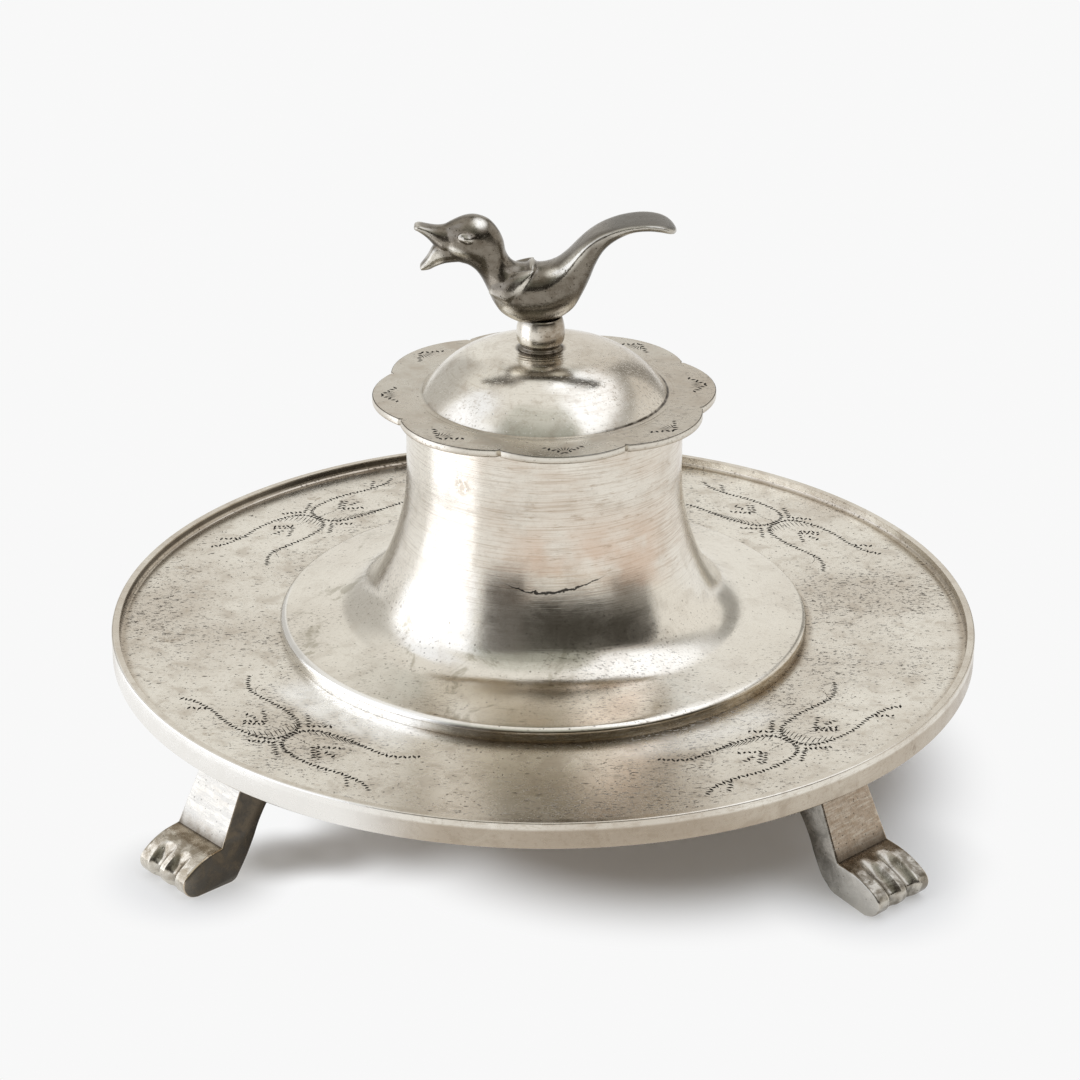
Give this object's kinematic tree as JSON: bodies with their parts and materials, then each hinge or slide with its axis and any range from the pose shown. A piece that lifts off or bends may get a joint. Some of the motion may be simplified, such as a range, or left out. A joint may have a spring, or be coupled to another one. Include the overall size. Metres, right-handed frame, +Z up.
{
  "type": "desk inkstand",
  "caption": "Footed pewter desk inkstand: round rimmed tray on paw feet, trumpet-shaped well with a glass liner, and a scalloped lift-off lid with a bird finial.",
  "frame": {"origin": "on the vertical axis of the tray, on the desk that the feet stand on", "axes": "+Z up; -Y is the front; the bird on the lid looks towards -X"},
  "size_m": [0.2, 0.2, 0.1262],
  "materials": {
    "pewter": "satin, aged pewter with pits and a warm tint",
    "dark_pewter": "satin, dark brown-grey patina on cast pewter",
    "clear_glass": "gloss, clear pressed glass",
    "plain_steel": "satin, plain steel fixing"
  },
  "bodies": {
    "stand": {"tray": "pewter", "foot_front_left": "pewter", "foot_front_right": "pewter", "foot_rear_left": "pewter", "foot_rear_right": "pewter", "well_body": "pewter", "liner_seat": "pewter"},
    "liner": {"glass_liner": "clear_glass"},
    "lid": {"lid_plate": "pewter", "lid_dome": "pewter", "lid_collar": "pewter", "finial_stem": "pewter", "finial_stud": "plain_steel", "finial_washer": "plain_steel", "finial_nut": "plain_steel", "bird": "dark_pewter"}
  },
  "joints": [
    {"name": "liner_lift", "type": "slide", "parent": "stand", "child": "liner", "axis": [0, 0, 1], "range_m": [0, 0.06]},
    {"name": "lid_lift", "type": "slide", "parent": "liner", "child": "lid", "axis": [0, 0, 1], "range_m": [0, 0.03]}
  ]
}
